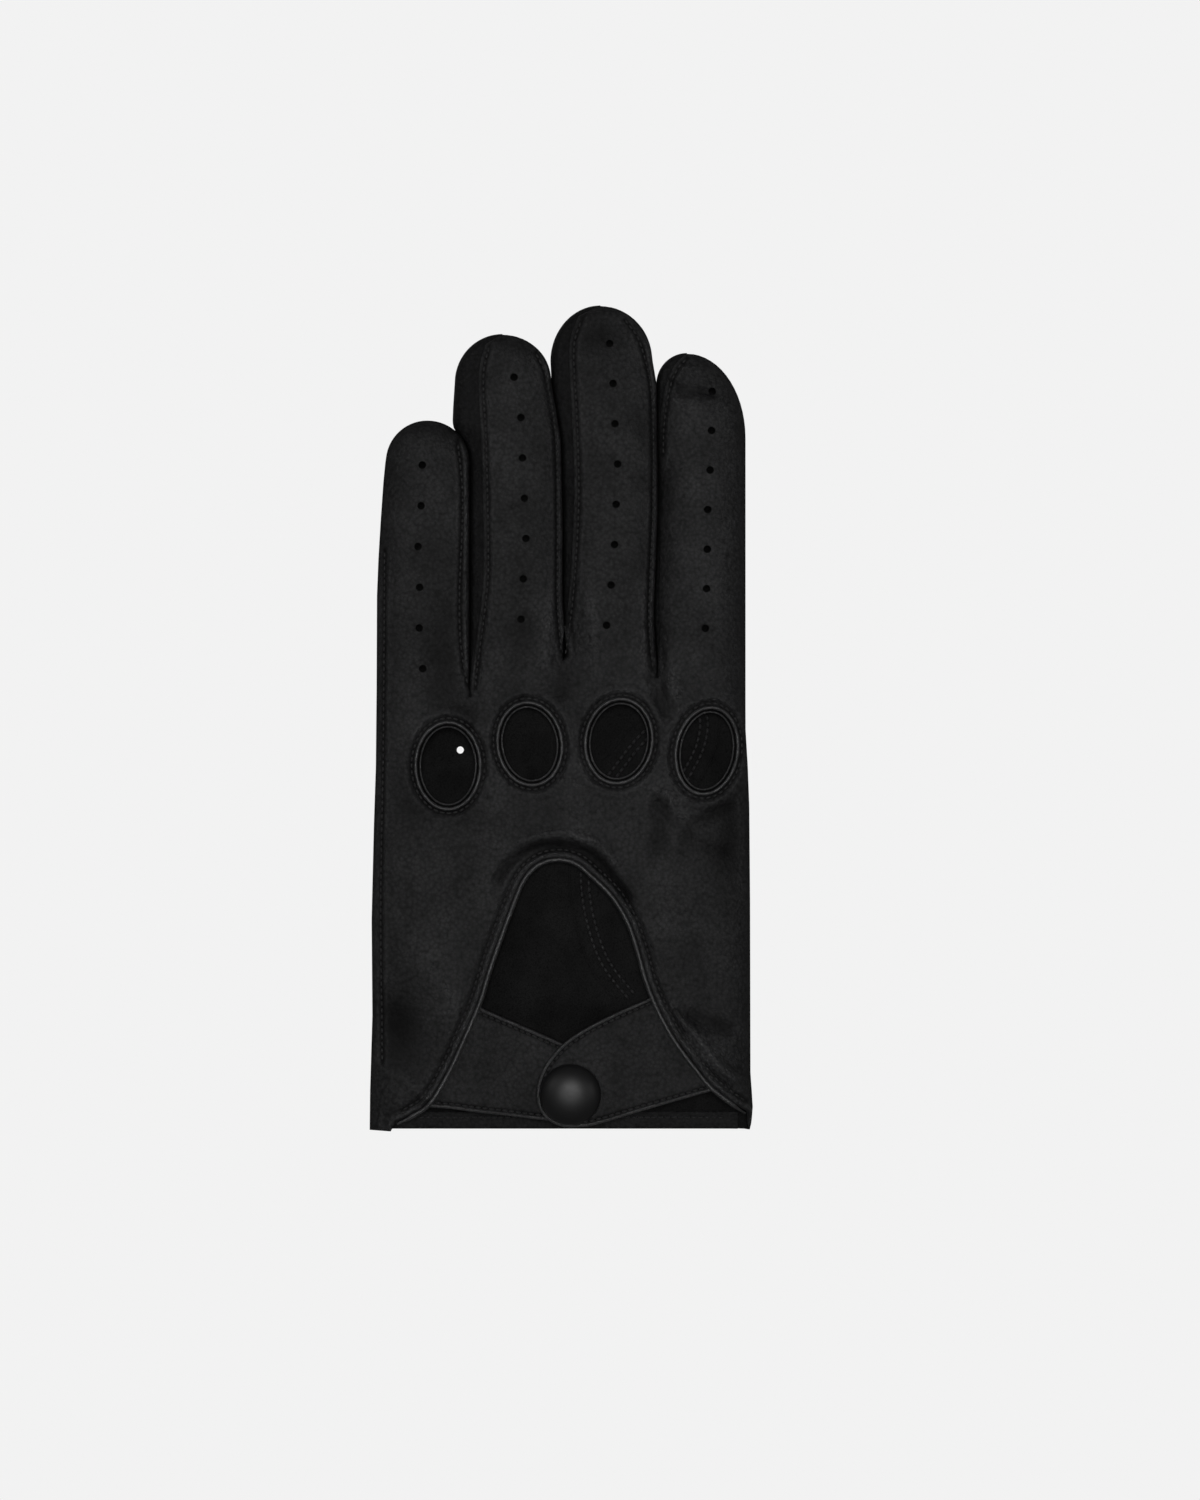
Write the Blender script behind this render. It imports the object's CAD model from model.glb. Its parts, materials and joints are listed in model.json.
"""Leather driving glove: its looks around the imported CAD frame.

Shapes are worked out in millimetres, with x across the glove, y from the cuff and z from the table, and are
turned into the frame's metres when a mesh is made. Places come from the CAD boxes and joints.
"""

import json
import math

import bpy
import numpy as np
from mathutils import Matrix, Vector, noise
from mathutils.geometry import delaunay_2d_cdt


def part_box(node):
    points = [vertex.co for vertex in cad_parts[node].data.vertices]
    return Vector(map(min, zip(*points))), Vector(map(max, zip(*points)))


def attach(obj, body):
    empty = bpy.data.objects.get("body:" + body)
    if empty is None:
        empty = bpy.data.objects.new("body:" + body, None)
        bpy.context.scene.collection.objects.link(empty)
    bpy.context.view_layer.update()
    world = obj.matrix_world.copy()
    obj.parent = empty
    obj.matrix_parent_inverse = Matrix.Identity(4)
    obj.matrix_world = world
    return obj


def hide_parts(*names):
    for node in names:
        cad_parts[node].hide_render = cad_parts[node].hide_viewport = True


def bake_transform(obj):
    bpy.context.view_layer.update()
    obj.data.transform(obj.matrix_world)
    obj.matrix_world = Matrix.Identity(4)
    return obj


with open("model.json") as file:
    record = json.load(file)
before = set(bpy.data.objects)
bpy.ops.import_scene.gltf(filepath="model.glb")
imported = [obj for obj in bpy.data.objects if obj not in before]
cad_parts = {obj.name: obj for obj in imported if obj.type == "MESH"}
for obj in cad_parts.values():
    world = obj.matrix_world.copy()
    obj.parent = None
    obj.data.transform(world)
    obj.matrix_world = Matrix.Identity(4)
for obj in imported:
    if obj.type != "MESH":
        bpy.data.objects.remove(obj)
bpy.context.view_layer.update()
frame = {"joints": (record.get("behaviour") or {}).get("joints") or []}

FINGERS = ("little", "ring", "middle", "index")
JOINTS = {j["name"]: j for j in frame["joints"]}


CUFF = np.array(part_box("trank_back")[0])[1] * 1000


def cad_box(node):
    """Lowest and highest corner of a CAD node in millimetres, y from the cuff."""
    lo, hi = (np.array(c) * 1000 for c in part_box(node))
    return lo - (0, CUFF, 0), hi - (0, CUFF, 0)


HAND_LO, HAND_HI = cad_box("trank_back")
HAND_L, HAND_R = HAND_LO[0], HAND_HI[0]
BODY_TOP = HAND_HI[2]
CENTRE = {f: (cad_box(f + "_back")[0][0] + cad_box(f + "_back")[1][0]) / 2 for f in FINGERS}
TIP = {f: cad_box(f + "_back")[1][1] for f in FINGERS}
BEND = {f: JOINTS[f + "_bend"]["pos_m"][1] * 1000 - CUFF for f in FINGERS}
BEND_HALF = 11.0     # half the length over which a finger's bend is spread
SPLIT = {f: BEND[f] - BEND_HALF - 2.0 for f in FINGERS}
SNAP = (cad_box("snap_cap")[0] + cad_box("snap_cap")[1])[:2] / 2
SNAP_Z = cad_box("strap_flap")[1][2]
LEATHER = 1.0
SEAM_Z = 4.5
CROWN = 0.7
HEIGHT = BODY_TOP - SEAM_Z - CROWN
STITCH_PITCH = 1.75
TILE = 8.0           # side of the squares in which distances to lines are worked out
FINGER_GAP = 0.15
CROTCHES = ((CENTRE["little"] + 13.6, 113.8), (CENTRE["ring"] + 13.8, 123.0), (CENTRE["middle"] + 12.9, 118.6))
NOTCH = {"ring": 174.0, "middle": 196.3, "index": 195.0}    # up to here a finger's left side follows its neighbour


# ---- small geometry helpers ----
def smooth(t):
    t = np.clip(t, 0, 1)
    return t * t * (3 - 2 * t)


def roll(t):
    """Quarter circle: 0 at 0, 1 at 1, upright at the start."""
    return np.sqrt(np.clip(1 - (1 - np.clip(t, 0, 1)) ** 2, 0, 1))


def along(points):
    """Distance along a polyline at each of its points."""
    return np.r_[0, np.cumsum(np.hypot(*np.diff(points[:, :2], axis=0).T))]


def resample(points, step, closed=False, count=0):
    """Points at even steps, or count of them, along a polyline. Columns after x and y are carried along."""
    p = np.asarray(points, float)
    if closed:
        p = np.vstack([p, p[:1]])
    s = along(p)
    t = np.linspace(0, s[-1], count or max(2, int(round(s[-1] / step)) + 1))
    out = np.column_stack([np.interp(t, s, p[:, k]) for k in range(p.shape[1])])
    return out[:-1] if closed else out


def curve(points, step=0.8, closed=False):
    """A smooth line through hand-placed points, resampled."""
    p = np.asarray(points, float)
    q = np.vstack([p[-1:], p, p[:2]]) if closed else np.vstack([2 * p[:1] - p[1:2], p, 2 * p[-1:] - p[-2:-1]])
    out = []
    for i in range(1, len(q) - 2):
        a, b, c, d = q[i - 1], q[i], q[i + 1], q[i + 2]
        for t in np.linspace(0, 1, 12, endpoint=False):
            out.append(0.5 * (2 * b + (c - a) * t + (2 * a - 5 * b + 4 * c - d) * t ** 2
                              + (3 * b - a - 3 * c + d) * t ** 3))
    if not closed:
        out.append(q[-2])
    return resample(out, step, closed)


def normals_2d(p, closed=False):
    """Unit normals to the left of a polyline."""
    p = np.asarray(p, float)[:, :2]
    d = np.roll(p, -1, 0) - np.roll(p, 1, 0) if closed else np.gradient(p, axis=0)
    d /= np.maximum(np.hypot(d[:, 0], d[:, 1]), 1e-9)[:, None]
    return np.column_stack([-d[:, 1], d[:, 0]])


def offset(p, distance, closed=False):
    """Polyline moved to its left."""
    return np.asarray(p, float)[:, :2] + distance * normals_2d(p, closed)


class Lines:
    """Distance from points to a set of polylines, and a value that the polylines carry."""

    def __init__(self, lines, closed=False):
        a, b, va, vb = [], [], [], []
        for line in lines:
            p = np.asarray(line, float)
            if p.shape[1] == 2:
                p = np.column_stack([p, np.zeros(len(p))])
            q = np.vstack([p, p[:1]]) if closed else p
            a.append(q[:-1, :2]), b.append(q[1:, :2]), va.append(q[:-1, 2]), vb.append(q[1:, 2])
        self.a, self.va, self.vb = np.vstack(a), np.concatenate(va), np.concatenate(vb)
        self.ab = np.vstack(b) - self.a
        self.length2 = np.maximum((self.ab ** 2).sum(1), 1e-12)

    def near(self, xy):
        """Distance and carried value for each point, worked out tile by tile with only the lines near the tile."""
        xy = np.asarray(xy, float)[:, :2]
        distance, value = np.empty(len(xy)), np.empty(len(xy))
        if not len(xy):
            return distance, value
        cell = np.floor(xy / TILE).astype(np.int64)
        key = cell[:, 0] * 100003 + cell[:, 1]
        order = np.argsort(key, kind="stable")
        cuts = np.flatnonzero(np.diff(key[order])) + 1
        for rows in np.split(order, cuts):
            centre = (cell[rows[0]] + 0.5) * TILE
            reach = np.sqrt(self._squares(centre[None], slice(None))[0][0])
            some = np.flatnonzero(reach <= reach.min() + 1.42 * TILE + 1e-6)
            r, t = self._squares(xy[rows], some)
            k = r.argmin(1)
            n = np.arange(len(k))
            distance[rows] = np.sqrt(r[n, k])
            value[rows] = self.va[some][k] + (self.vb - self.va)[some][k] * t[n, k]
        return distance, value

    def _squares(self, p, some):
        d = p[:, None] - self.a[some][None]
        t = np.clip((d * self.ab[some]).sum(-1) / self.length2[some], 0, 1)
        return ((d - t[..., None] * self.ab[some]) ** 2).sum(-1), t

    def far(self, xy):
        return self.near(xy)[0]


def inside(xy, loop):
    """Even-odd test of points against a closed loop."""
    loop = np.asarray(loop, float)[:, :2]
    a, b = loop, np.roll(loop, -1, 0)
    out = np.zeros(len(xy), bool)
    for i in range(0, len(xy), 4000):
        x, y = xy[i:i + 4000, 0, None], xy[i:i + 4000, 1, None]
        crosses = (a[:, 1] > y) != (b[:, 1] > y)
        at = a[:, 0] + (y - a[:, 1]) * (b[:, 0] - a[:, 0]) / np.where(b[:, 1] == a[:, 1], 1e-12, b[:, 1] - a[:, 1])
        out[i:i + 4000] = (crosses & (x < at)).sum(1) % 2 == 1
    return out


# ---- outlines: y from the cuff and x from a CAD centre line or side ----
LEFT_SIDE = ((0, -1.3), (10, -1.2), (30, -.6), (55, -.8), (80, -.2), (95, .3), (115, .5), (140, .6), (150, 1.0),
             (160, 1.6), (170, 2.3), (176, 2.9))
RIGHT_SIDE = ((0, .4), (2, .9), (6, 1.2), (15, .6), (60, .5), (85, .3), (95, -.1), (105, -.7), (182, -.7))
SIDES = {
    "little": (None, ((115, 13.4), (126, 13.35), (186, 13.35))),
    "ring": (((115, -10.6), (174, -10.6), (178, -11.6), (185, -15.0), (190, -14.8), (196, -14.4)),
             ((123, 13.75), (124.5, 14.6), (128, 14.4), (139, 13.7), (160, 13.7), (181, 13.2), (196.5, 10.6))),
    "middle": (((123, -11.5), (124.5, -10.5), (128, -10.7), (139, -11.4), (160, -11.4), (181, -11.9),
                (192, -13.1), (196.5, -14.3), (202, -14.6)),
               ((118, 13.0), (122, 13.0), (134, 12.2), (149, 12.8), (165, 13.3), (191, 13.0), (195, 13.0),
                (202, 11.8))),
    "index": (((118, -12.0), (122, -12.0), (134, -12.75), (149, -12.15), (165, -11.65), (191, -11.95),
               (196, -11.95)), None),
}
# sideways place of the tip from the centre line, and how far down the rounding starts on the left and the right
ROUND = {"little": (2.3, 11, 11), "ring": (-2.2, 12.5, 12.2), "middle": (-1.8, 14.5, 14.5), "index": (-4.25, 8, 22)}
LIFT = {"left": 0.16, "right": 0.5, "outer": 0.12, "fold": 0.0, "crotch": 0.75, "tip": 0.15}


def side_line(finger, right):
    """The finger's silhouette from crotch to tip: x, y and how far the edge is lifted, 0 to 1."""
    cx, tip = CENTRE[finger], TIP[finger]
    shift, round_l, round_r = ROUND[finger]
    round_y = round_r if right else round_l
    apex = cx + shift
    table = SIDES[finger][1 if right else 0]
    if table is None:
        table, cx = (RIGHT_SIDE, HAND_R) if right else (LEFT_SIDE, HAND_L)
        start, foot, rest = (118.0 if right else 115.0), None, LIFT["fold" if right else "outer"]
    else:
        start = foot = table[0][0]
        rest = LIFT["right" if right else "left"]
    ys, xs = np.array(table, float).T
    y = np.r_[np.arange(start, tip - round_y, 1.2), tip - round_y + round_y * np.sin(np.linspace(0, math.pi / 2, 16))]
    v = np.clip((y - (tip - round_y)) / round_y, 0, 1)
    x = apex + (cx + np.interp(y, ys, xs) - apex) * np.sqrt(1 - v * v)
    lift = rest + (LIFT["tip"] - rest) * smooth(v)
    if foot is not None:
        lift = lift + (LIFT["crotch"] - lift) * (1 - smooth((y - foot) / 15))
    return np.column_stack([x, y, lift])


EDGE_L = {f: side_line(f, False) for f in FINGERS}
EDGE_R = {f: side_line(f, True) for f in FINGERS}
for k, (left, right) in enumerate(zip(FINGERS, FINGERS[1:])):
    x, y = CROTCHES[k]
    EDGE_R[left][0] = EDGE_L[right][0] = (x, y, LIFT["crotch"])
    beside = np.interp(EDGE_L[right][:, 1], EDGE_R[left][:, 1], EDGE_R[left][:, 0], right=-999) + FINGER_GAP
    follows = EDGE_L[right][:, 1] < NOTCH[right]
    EDGE_L[right][:, 0] = np.where(follows, beside, np.maximum(EDGE_L[right][:, 0], beside))
    EDGE_L[right][0, 0] = x


def table_line(table, base, lift, y0, y1):
    ys, xs = np.array(table, float).T
    y = np.arange(y0, y1, 1.5)
    return np.column_stack([base + np.interp(y, ys, xs), y, np.full(len(y), lift)])


HAND_EDGE_L = table_line(LEFT_SIDE, HAND_L, LIFT["outer"], 0, 115)
HAND_EDGE_R = table_line(RIGHT_SIDE, HAND_R, LIFT["fold"], 0, 118)
silhouette = [HAND_EDGE_L]
for f in FINGERS:
    silhouette += [EDGE_L[f][:-1], EDGE_R[f][::-1][:-1]]
silhouette = np.vstack(silhouette + [EDGE_R["index"][:1], HAND_EDGE_R[::-1]])
SIDE = Lines([silhouette])
FINGER_LOOP = {f: np.vstack([EDGE_L[f], EDGE_R[f][::-1]])[:, :2] for f in FINGERS}

# ---- seams: stitch rows, x from the finger's centre line ----
SEAM_L = {
    "ring": ((-9.2, 115.6), (-8.0, 125.8), (-6.3, 138.9), (-5.7, 149.3), (-6.2, 178.2), (-7.0, 196.5), (-5.4, 205.2)),
    "middle": ((-11.0, 124.0), (-9.0, 138.9), (-7.7, 157.2), (-7.4, 170.3), (-7.9, 186), (-8.7, 204.4), (-6.4, 212.6)),
    "index": ((-10.4, 119), (-10.5, 150), (-10.5, 178), (-10.0, 187), (-8.4, 195.5), (-6.4, 199.6), (-4.2, 201.9)),
}
SEAM_R = {
    "little": ((13.0, 116.4), (11.3, 125.8), (10.8, 138.9), (11.6, 165.1), (10.3, 180.8)),
    "ring": ((13.3, 125), (12.3, 138.9), (12.3, 159.8), (11.9, 180.8), (9.5, 196.5), (6.6, 203.4)),
    "middle": ((11.9, 120.6), (10.9, 133.6), (11.4, 149.3), (12.0, 165.1), (11.7, 191.3), (8.6, 205.7), (4.6, 212)),
}
PANEL_LAP = 1.2
seam_lines = {}
for f, line in SEAM_L.items():
    seam_lines[f + "_outer"] = curve([(CENTRE[f] + x, y) for x, y in line], 0.9)
for f, line in SEAM_R.items():
    seam_lines[f + "_inner"] = curve([(CENTRE[f] + x, y) for x, y in line], 0.9)
seam_lines["side"] = curve([(HAND_L + 2.2, 18), (HAND_L + 1.9, 60), (HAND_L + 2.5, 100), (HAND_L + 2.9, 152)], 0.9)

# the panel's own left edge on ring, middle and index: the seam moved outwards, from the crotch to the tip
PANEL_EDGE = {}
for k, f in enumerate(FINGERS[1:]):
    lap = offset(seam_lines[f + "_outer"], PANEL_LAP)
    line = np.vstack([CROTCHES[k], lap[2:], EDGE_L[f][-1, :2]])
    PANEL_EDGE[f] = resample(line, 0.8)

# the index finger's left seam shows only near its tip
seam_lines["index_outer"] = seam_lines["index_outer"][seam_lines["index_outer"][:, 1] > 176]

# ---- knuckle holes and the wrist cut-out ----
HOLE_HALF = {"little": (7.58, 10.45), "ring": (7.5, 9.95), "middle": (7.83, 10.15), "index": (7.2, 10.5)}
HOLE_TILT = {"little": 0, "ring": -8, "middle": 8, "index": 10}


def hole_loop(f, out, n=72):
    """The knuckle hole's oval, out millimetres outside the bare opening, anticlockwise."""
    lo, hi = cad_box("knuckle_binding_" + f)
    cx, cy = (lo[:2] + hi[:2]) / 2
    a = np.linspace(0, 2 * math.pi, n, endpoint=False)
    x, y = (HOLE_HALF[f][0] + out) * np.cos(a), (HOLE_HALF[f][1] + out) * np.sin(a)
    t = math.radians(-HOLE_TILT[f])
    return np.column_stack([cx + x * math.cos(t) - y * math.sin(t), cy + x * math.sin(t) + y * math.cos(t)])


CUT_TOP = cad_box("cutout_binding")[1][1]
# the wrist cut-out's bare edge from the left cuff corner over the top to the right one: x, and y below its top
CUTOUT = curve([(-42.6, -68.6), (-38.6, -66.6), (-33.7, -63.0), (-28.7, -54.8), (-24.5, -45.7), (-20.6, -36.5),
                (-18.2, -28.6), (-15.3, -20.3), (-12.4, -12.4), (-9.3, -5.0), (-5.6, -1.1), (-1.0, 0.2), (3.4, -0.7),
                (7.4, -3.9), (13.0, -9.5), (16.9, -16.1), (19.3, -23.1), (21.4, -30.7), (24.2, -37.8), (28.4, -45.7),
                (33.4, -52.7), (38.4, -58.8), (44.1, -63.4), (47.8, -66.0)], 0.8)
CUTOUT[:, 1] += CUT_TOP
HOLE_OUT = {"inner_bead": -0.3, "band": 0.3, "outer_bead": 0.85, "sheet": 1.2, "stitches": 1.95}
CUT_OUT = {"piping": 0.55, "sheet": 1.1, "ridge": 2.1, "stitches": 3.1}
for f in FINGERS:
    loop = hole_loop(f, HOLE_OUT["stitches"])
    seam_lines["hole_" + f] = np.vstack([loop, loop[:1]])
seam_lines["cutout"] = resample(offset(CUTOUT, CUT_OUT["stitches"])[3:-2], 0.9)
GROOVES = Lines(list(seam_lines.values()))
HOLE_RIM = Lines([hole_loop(f, 0) for f in FINGERS], closed=True)
CUT_RIM = Lines([CUTOUT])

# ---- relief of the back. BUMPS: place, half sizes, turn in degrees, height. CREASES: line, width, height ----
BUMPS = ((-3.4, 130, 1.9, 8, -12, 1.0), (8.2, 131, 1.9, 8, 8, .7), (22.2, 128, 1.7, 8, 0, .9),
         (29.0, 117, 1.6, 6, 20, .8), (-18.6, 121, 2.6, 6, -15, .6), (-31, 127, 4, 11, 0, -.7),
         (-11, 134, 2.6, 7, 0, -.6), (42, 71, 5, 8, -20, -.4),
         (-42.5, 22, 4, 12, 0, -.9), (10.0, 207.5, 4.5, 3.2, 0, -.8), (38.5, 20, 3, 9, 35, .7),
         (-25.5, 63, 3.5, 5, 0, -.5), (44.5, 78, 2.6, 8, 0, -.7), (31, 84, 4, 7, 20, .6),
         (-42, 30, 7, 6, 0, -.4), (-42.5, 10.5, 3.5, 3, 0, .6), (-28, 88, 5, 7, 0, -.4), (-28, 60, 8, 14, 20, .4),
         (27, 58, 5, 12, 15, .4), (-38, 84, 5, 8, 0, -.4), (3.5, 87.5, 3.5, 7, 0, .5), (-19, 88, 3, 7, 0, .4),
         (26.5, 91, 3, 7, 0, .4), (-36, 105, 6, 4, 0, .4), (40, 114, 5, 8, 0, .4), (12, 112, 8, 3.5, 8, .4),
         (-37.5, 172, 3, 9, 0, .4), (-14, 190, 3.5, 10, 0, .3), (37, 160, 5, 22, 0, .4), (34, 42, 3.5, 10, 15, -.5),
         (-30, 36, 3, 9, 25, .5))
CREASES = ((((26.2, 198.5), (28.2, 195.6), (31.5, 193.6), (35.5, 193.2), (39.8, 192.4)), 1.1, -.6),
           (((29.5, 190.3), (33.5, 189.3), (37.0, 189.4)), 1.6, .45),
           (((-16.6, CUT_TOP - 4.4), (-13.2, CUT_TOP), (-7.3, CUT_TOP + 3.3), (-.6, CUT_TOP + 4.3),
             (6.2, CUT_TOP + 2.6), (12.1, CUT_TOP - 2.5), (17.2, CUT_TOP - 9.2)), 1.3, -1.1),
           (((-10.7, CUT_TOP + 5.4), (-4, CUT_TOP + 7.4), (2.8, CUT_TOP + 7.2), (9.6, CUT_TOP + 4.6),
             (14, CUT_TOP)), 1.3, .8),
           (((31.5, CUT_TOP + 3), (34, CUT_TOP + 8.5), (39, CUT_TOP + 12), (44, CUT_TOP + 14.5)), 1.6, -.6),
           (((25.2, CUT_TOP + 15), (25.8, CUT_TOP + 8), (25, CUT_TOP + 2)), 2.0, -.7),
           (((29.8, CUT_TOP - 39), (35, CUT_TOP - 45), (40, CUT_TOP - 51), (45, CUT_TOP - 56)), 1.2, .9),
           (((34, CUT_TOP - 40.5), (39, CUT_TOP - 42), (44, CUT_TOP - 43.5)), 2.0, -.9),
           (((25.5, 85.5), (30.5, 78.5), (36.5, 74.5), (42.5, 73.0)), 1.7, -.5),
           (((32.0, 24.0), (38.0, 18.0), (44.5, 14.5)), 1.5, .5),
           (((-46.0, 16.0), (-40.0, 13.5), (-35.5, 9.0)), 1.6, .5),
           (((-24.0, 106.0), (-23.6, 110.0), (-23.9, 114.6)), 1.5, -.6),
           (((0.3, 114.0), (0.5, 118.0), (0.5, 122.8)), 1.4, -.6),
           (((26.6, 110.0), (25.8, 114.0), (25.1, 117.8)), 1.5, -.7))
RELIEF = 1.9
CREASE_LINES = [(Lines([curve(points, 1.0)]), width, height) for points, width, height in CREASES]


def wrinkles(xy, scale, seed):
    return np.array([noise.noise(Vector((x * scale, y * scale, seed))) for x, y in xy[:, :2]])


def relief(xy):
    z = np.zeros(len(xy))
    for x, y, a, b, turn, height in BUMPS:
        t = math.radians(turn)
        u = (xy[:, 0] - x) * math.cos(t) + (xy[:, 1] - y) * math.sin(t)
        v = (xy[:, 1] - y) * math.cos(t) - (xy[:, 0] - x) * math.sin(t)
        z += RELIEF * height * np.exp(-0.5 * ((u / a) ** 2 + (v / b) ** 2))
    for lines, width, height in CREASE_LINES:
        z += RELIEF * height * np.exp(-((lines.far(xy) / width) ** 2))
    z += 0.55 * wrinkles(xy, 0.085, 3.1) + 0.3 * wrinkles(xy, 0.22, 7.7) + 0.06 * wrinkles(xy, 0.6, 1.3)
    return z


ROLL_R = 8.0         # how far in from the silhouette the back reaches its full height
RIDGE = 1.15         # from a stitch row to the ridge beside it
FLANGE = 1.75        # from a free panel edge to its stitch row


def flange_share(lift):
    """1 where the panel's edge stands free beside a finger's right side, 0 at the crotches and elsewhere."""
    return smooth((lift - 0.3) / 0.15) * (1 - smooth((lift - 0.62) / 0.13))


def bell(distance, centre, width):
    """1 at the centre distance, fading over the width."""
    return np.exp(-(((distance - centre) / width) ** 2))


def top(xy):
    """Height of the back's outer face."""
    xy = np.asarray(xy, float)
    e, lift = SIDE.near(xy)
    z = SEAM_Z + HEIGHT * (lift + (1 - lift) * roll(e / ROLL_R))
    z += CROWN * smooth(e / 14) + relief(xy) * smooth(e / 4)
    groove = GROOVES.far(xy)
    z += 0.16 * bell(groove, RIDGE, 0.45) - 0.5 * bell(groove, 0, 0.42)
    hole, cut = HOLE_RIM.far(xy), CUT_RIM.far(xy)
    z += 0.6 * bell(hole, 3.9, 1.2) - 0.4 * bell(hole, 2.0, 0.7)
    z += 0.6 * bell(cut, 5.6, 1.6) - 0.5 * bell(cut, 3.3, 0.9) + 0.35 * bell(cut, CUT_OUT["ridge"], 0.4)
    return z - flange_share(lift) * (0.6 * bell(e, FLANGE, 0.32) + 0.9 * (1 - roll(e / 0.9)))


def seam_tone(xy):
    """1 in dirt-dark grooves, below 0 on polished ridges."""
    e, lift = SIDE.near(xy)
    groove, cut, hole = GROOVES.far(xy), CUT_RIM.far(xy), HOLE_RIM.far(xy)
    tone = bell(groove, 0, 0.5) - 0.35 * bell(groove, RIDGE, 0.4)
    tone += 0.8 * bell(cut, CUT_OUT["sheet"], 0.45) - 1.1 * bell(cut, CUT_OUT["ridge"], 0.35)
    tone += 0.5 * bell(hole, HOLE_OUT["sheet"], 0.35)
    flange = flange_share(lift)
    tone += flange * (bell(e, FLANGE, 0.35) - 1.2 * bell(e, 0.9, 0.45))
    tone += 0.8 * (1 - smooth(e / 1.2)) * (1 - flange)
    tone -= 0.42 * relief(xy) * smooth(e / 4)
    return np.clip(tone, -1, 1)


# ---- the palm's height ----
THUMB_ROOT = np.array(JOINTS["thumb_swing"]["pos_m"][:2]) * 1000 - (0, CUFF)
THUMB_H = 4.0
THUMB_ANGLE = math.radians(128)
PALM_RISE = 4.3


def rise(xy):
    """How much the thumb underneath lifts the palm, below 0 away from it."""
    x, y = xy[:, 0], xy[:, 1]
    return (PALM_RISE + .6) * smooth((x + 24.5) / 12) * smooth((y - 23.5) / 12) * (1 - smooth((y - 109) / 12)) - .6


def bottom(xy):
    """Height of the palm's outer face, the underside."""
    xy = np.asarray(xy, float)
    e, lift = SIDE.near(xy)
    z = SEAM_Z - (SEAM_Z - 0.2) * roll(e / 5)
    lifted = 0.2 + np.maximum(rise(xy), 0)
    z = np.minimum(np.maximum(z, lifted), SEAM_Z) + 0.12 * wrinkles(xy, 0.12, 9.4) * smooth(e / 5)
    # along the sewn outer side the palm comes up to meet the back
    sewn = lift * (1 - smooth((lift - LIFT["outer"]) / 0.03))
    return z + (HEIGHT * sewn - 0.1) * (1 - smooth(e / 2.5)) * (sewn > 0.05)


# ---- mesh making ----
def to_metres(v):
    v = np.asarray(v, float).reshape(-1, 3)
    return (v + (0, CUFF, 0)) / 1000


def make_object(name, verts, faces, materials, slots=None, sharp=40, tone=None):
    mesh = bpy.data.meshes.new(name)
    mesh.from_pydata(to_metres(verts).tolist(), [], [list(map(int, f)) for f in faces])
    for m in materials:
        mesh.materials.append(m)
    if slots is not None:
        mesh.polygons.foreach_set("material_index", np.asarray(slots, np.int32))
    mesh.polygons.foreach_set("use_smooth", np.ones(len(mesh.polygons), bool))
    attribute = mesh.attributes.new("rest", "FLOAT_VECTOR", "POINT")
    attribute.data.foreach_set("vector", np.asarray(verts, np.float32).ravel())
    if tone is not None:
        mesh.attributes.new("tone", "FLOAT", "POINT").data.foreach_set("value", np.asarray(tone, np.float32))
    mesh.validate()
    mesh.set_sharp_from_angle(angle=math.radians(sharp))
    mesh.update()
    obj = bpy.data.objects.new(name, mesh)
    bpy.context.scene.collection.objects.link(obj)
    return obj


def hex_grid(lo, hi, step):
    xs = np.arange(lo[0], hi[0], step)
    ys = np.arange(lo[1], hi[1], step * 0.866)
    gx, gy = np.meshgrid(xs, ys)
    gx[1::2] += step / 2
    return np.column_stack([gx.ravel(), gy.ravel()])


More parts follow.
